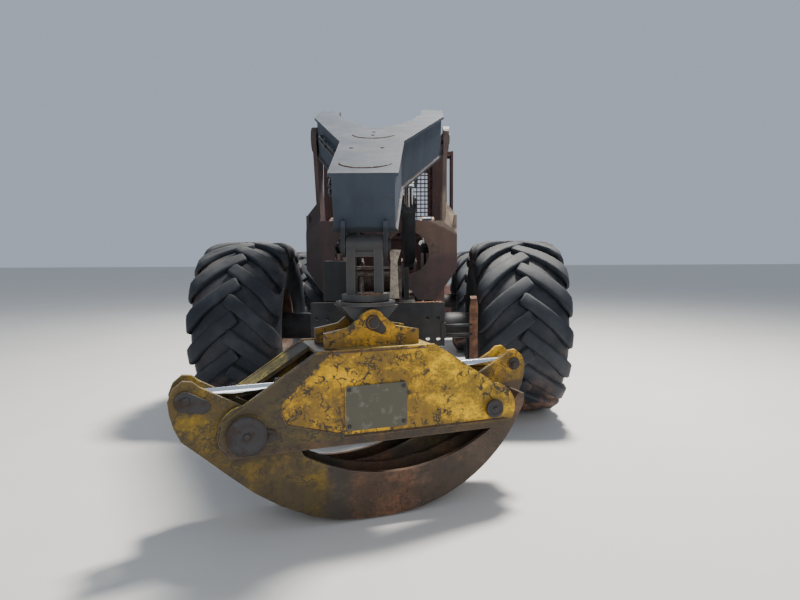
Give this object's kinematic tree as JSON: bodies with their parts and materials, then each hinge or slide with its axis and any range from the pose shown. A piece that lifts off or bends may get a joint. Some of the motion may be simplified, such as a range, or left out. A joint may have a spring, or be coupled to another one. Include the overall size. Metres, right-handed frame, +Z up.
{
  "type": "grapple skidder",
  "caption": "Articulated forestry grapple skidder with a cab, front blade, tilting rear arch, boom and rotating two-tong log grapple.",
  "frame": {"origin": "middle of the machine's box on the ground, boom and blade as parked", "axes": "+Y forwards, +X to the machine's right, +Z up"},
  "size_m": [3.86, 8.8357, 3.3271],
  "materials": {
    "body_paint": "worn maroon-brown paint with rust",
    "frame_paint": "dark grey paint with dirt",
    "boom_paint": "blue-grey paint, scratched",
    "grapple_paint": "yellow paint, worn to brown steel at the tips",
    "rod_chrome": "hard chrome",
    "tyre_rubber": "muddy black rubber",
    "rim_paint": "rusty brown",
    "burnt_steel": "burnt and rusty",
    "trim_black": "dull black",
    "seat_cloth": "dark woven cover",
    "lamp_glass": "clear lens"
  },
  "bodies": {
    "front_body": {"front_frame": "frame_paint", "front_axle": "frame_paint", "engine_block": "body_paint", "hood": "body_paint", "grille": "frame_paint", "exhaust_stack": "burnt_steel", "air_cleaner": "trim_black", "cab_shell": "body_paint", "cab_roof": "body_paint", "rear_guard": "body_paint", "seat": "seat_cloth", "controls": "trim_black", "tank_left": "body_paint", "tank_right": "body_paint", "front_fenders": "frame_paint", "lamps": "lamp_glass"},
    "rear_body": {"rear_frame": "frame_paint", "rear_axle": "frame_paint", "winch": "frame_paint", "fairlead": "frame_paint"},
    "door_left_body": {"door_left": "body_paint"},
    "door_right_body": {"door_right": "body_paint"},
    "blade_body": {"blade": "body_paint"},
    "blade_barrels_body": {"blade_barrels": "frame_paint"},
    "blade_rods_body": {"blade_rods": "rod_chrome"},
    "steer_barrel_left_body": {"steer_barrel_left": "frame_paint"},
    "steer_rod_left_body": {"steer_rod_left": "rod_chrome"},
    "steer_barrel_right_body": {"steer_barrel_right": "frame_paint"},
    "steer_rod_right_body": {"steer_rod_right": "rod_chrome"},
    "arch_body": {"arch": "body_paint"},
    "arch_barrels_body": {"arch_barrels": "frame_paint"},
    "arch_rods_body": {"arch_rods": "rod_chrome"},
    "boom_body": {"boom": "boom_paint"},
    "boom_barrels_body": {"boom_barrels": "frame_paint"},
    "boom_rods_body": {"boom_rods": "rod_chrome"},
    "link_body": {"grapple_link": "frame_paint"},
    "swivel_body": {"swivel_yoke": "frame_paint"},
    "head_body": {"grapple_head": "grapple_paint"},
    "tong_left_body": {"tong_left": "grapple_paint"},
    "tong_right_body": {"tong_right": "grapple_paint"},
    "tong_barrel_left_body": {"tong_barrel_left": "frame_paint"},
    "tong_rod_left_body": {"tong_rod_left": "rod_chrome"},
    "tong_barrel_right_body": {"tong_barrel_right": "frame_paint"},
    "tong_rod_right_body": {"tong_rod_right": "rod_chrome"},
    "wheel_rear_left": {"tyre_rear_left": "tyre_rubber", "rim_rear_left": "rim_paint"},
    "wheel_rear_right": {"tyre_rear_right": "tyre_rubber", "rim_rear_right": "rim_paint"},
    "wheel_front_left": {"tyre_front_left": "tyre_rubber", "rim_front_left": "rim_paint"},
    "wheel_front_right": {"tyre_front_right": "tyre_rubber", "rim_front_right": "rim_paint"}
  },
  "joints": [
    {"name": "steering", "type": "hinge", "parent": "front_body", "child": "rear_body", "pos_m": [0, 0.76, 1.1], "axis": [0, 0, 1], "range_deg": [-38, 38]},
    {"name": "wheel_rear_left_spin", "type": "hinge", "parent": "rear_body", "child": "wheel_rear_left", "pos_m": [-1.46, -1.17, 0.95], "axis": [1, 0, 0], "continuous": true},
    {"name": "wheel_rear_right_spin", "type": "hinge", "parent": "rear_body", "child": "wheel_rear_right", "pos_m": [1.46, -1.17, 0.95], "axis": [1, 0, 0], "continuous": true},
    {"name": "wheel_front_left_spin", "type": "hinge", "parent": "front_body", "child": "wheel_front_left", "pos_m": [-1.48, 2.73, 0.89], "axis": [1, 0, 0], "continuous": true},
    {"name": "wheel_front_right_spin", "type": "hinge", "parent": "front_body", "child": "wheel_front_right", "pos_m": [1.48, 2.73, 0.89], "axis": [1, 0, 0], "continuous": true},
    {"name": "door_right_swing", "type": "hinge", "parent": "front_body", "child": "door_right_body", "pos_m": [0.8063, 1.034, 2.1], "axis": [0, 0, 1], "range_deg": [0, 100]},
    {"name": "door_left_swing", "type": "hinge", "parent": "front_body", "child": "door_left_body", "pos_m": [-0.8063, 1.034, 2.1], "axis": [0, 0, -1], "range_deg": [0, 100]},
    {"name": "blade_lift", "type": "hinge", "parent": "front_body", "child": "blade_body", "pos_m": [0, 3.35, 0.9], "axis": [1, 0, 0], "range_deg": [-18, 14]},
    {"name": "blade_cylinder_turn", "type": "hinge", "parent": "front_body", "child": "blade_barrels_body", "pos_m": [0, 3.815, 1.33], "axis": [1, 0, 0], "range_deg": [-12.1, 9.5]},
    {"name": "blade_rod_slide", "type": "slide", "parent": "blade_barrels_body", "child": "blade_rods_body", "axis": [0, 0.3606, -0.9327], "range_m": [-0.144, 0.185]},
    {"name": "steer_cylinder_right_turn", "type": "hinge", "parent": "front_body", "child": "steer_barrel_right_body", "pos_m": [0.31, 1.18, 1.12], "axis": [0, 0, 1], "range_deg": [-18.4, 18.4]},
    {"name": "steer_rod_right_slide", "type": "slide", "parent": "steer_barrel_right_body", "child": "steer_rod_right_body", "axis": [-0.0123, -0.9999, 0], "range_m": [-0.2, 0.2]},
    {"name": "steer_cylinder_left_turn", "type": "hinge", "parent": "front_body", "child": "steer_barrel_left_body", "pos_m": [-0.31, 1.18, 1.12], "axis": [0, 0, 1], "range_deg": [-18.4, 18.4]},
    {"name": "steer_rod_left_slide", "type": "slide", "parent": "steer_barrel_left_body", "child": "steer_rod_left_body", "axis": [0.0123, -0.9999, 0], "range_m": [-0.2, 0.2]},
    {"name": "arch_tilt", "type": "hinge", "parent": "rear_body", "child": "arch_body", "pos_m": [0, -0.89, 1.4], "axis": [-1, 0, 0], "range_deg": [0, 25]},
    {"name": "arch_cylinder_turn", "type": "hinge", "parent": "rear_body", "child": "arch_barrels_body", "pos_m": [0, -0.46, 1.34], "axis": [1, 0, 0], "range_deg": [-18.3, 0.2]},
    {"name": "arch_rod_slide", "type": "slide", "parent": "arch_barrels_body", "child": "arch_rods_body", "axis": [0, -0.5385, 0.8426], "range_m": [-0.16, 0.001]},
    {"name": "boom_lift", "type": "hinge", "parent": "arch_body", "child": "boom_body", "pos_m": [0, -1.38, 2.98], "axis": [-1, 0, 0], "range_deg": [-5, 35]},
    {"name": "boom_cylinder_turn", "type": "hinge", "parent": "arch_body", "child": "boom_barrels_body", "pos_m": [0, -1.07, 1.64], "axis": [1, 0, 0], "range_deg": [-9, 1.4]},
    {"name": "boom_rod_slide", "type": "slide", "parent": "boom_barrels_body", "child": "boom_rods_body", "axis": [0, -0.7789, 0.6272], "range_m": [-0.07, 0.481]},
    {"name": "link_swing", "type": "hinge", "parent": "boom_body", "child": "link_body", "pos_m": [0, -3.73, 1.835], "axis": [1, 0, 0], "range_deg": [-30, 40]},
    {"name": "grapple_rotate", "type": "hinge", "parent": "link_body", "child": "swivel_body", "pos_m": [0, -3.73, 1.45], "axis": [0, 0, 1], "continuous": true},
    {"name": "grapple_tilt", "type": "hinge", "parent": "swivel_body", "child": "head_body", "pos_m": [0, -3.73, 1.317], "axis": [-0.3567, 0.9342, 0], "range_deg": [-20, 20]},
    {"name": "tong_left_open", "type": "hinge", "parent": "head_body", "child": "tong_left_body", "pos_m": [-0.7894, -4.03144, 0.687], "axis": [-0.3567, 0.9342, 0], "range_deg": [0, 60]},
    {"name": "tong_cylinder_left_turn", "type": "hinge", "parent": "head_body", "child": "tong_barrel_left_body", "pos_m": [0.28207, -3.76787, 0.93], "axis": [-0.3567, 0.9342, 0], "range_deg": [-0.1, 10.3]},
    {"name": "tong_rod_left_slide", "type": "slide", "parent": "tong_barrel_left_body", "child": "tong_rod_left_body", "axis": [-0.9342, -0.3567, -0.0049], "range_m": [-0.345, 0.001]},
    {"name": "tong_right_open", "type": "hinge", "parent": "head_body", "child": "tong_right_body", "pos_m": [0.7894, -3.42856, 0.687], "axis": [0.3567, -0.9342, 0], "range_deg": [0, 60]},
    {"name": "tong_cylinder_right_turn", "type": "hinge", "parent": "head_body", "child": "tong_barrel_right_body", "pos_m": [-0.28207, -3.69213, 0.93], "axis": [0.3567, -0.9342, 0], "range_deg": [-0.1, 10.3]},
    {"name": "tong_rod_right_slide", "type": "slide", "parent": "tong_barrel_right_body", "child": "tong_rod_right_body", "axis": [0.9342, 0.3567, -0.0049], "range_m": [-0.345, 0.001]}
  ],
  "couplings": [
    {"joint": "blade_cylinder_turn", "follows": "blade_lift", "ratio": 0.664},
    {"joint": "blade_rod_slide", "follows": "blade_lift", "m_per_rad": -0.58265},
    {"joint": "steer_cylinder_right_turn", "follows": "steering", "ratio": 0.4794},
    {"joint": "steer_rod_right_slide", "follows": "steering", "m_per_rad": -0.29924},
    {"joint": "steer_cylinder_left_turn", "follows": "steering", "ratio": 0.4794},
    {"joint": "steer_rod_left_slide", "follows": "steering", "m_per_rad": 0.29924},
    {"joint": "arch_cylinder_turn", "follows": "arch_tilt", "ratio": -0.7229},
    {"joint": "arch_rod_slide", "follows": "arch_tilt", "m_per_rad": -0.36278},
    {"joint": "boom_cylinder_turn", "follows": "boom_lift", "ratio": -0.249},
    {"joint": "boom_rod_slide", "follows": "boom_lift", "m_per_rad": 0.7847},
    {"joint": "tong_cylinder_left_turn", "follows": "tong_left_open", "ratio": 0.1692},
    {"joint": "tong_rod_left_slide", "follows": "tong_left_open", "m_per_rad": -0.32776},
    {"joint": "tong_cylinder_right_turn", "follows": "tong_right_open", "ratio": 0.1692},
    {"joint": "tong_rod_right_slide", "follows": "tong_right_open", "m_per_rad": -0.32776}
  ]
}
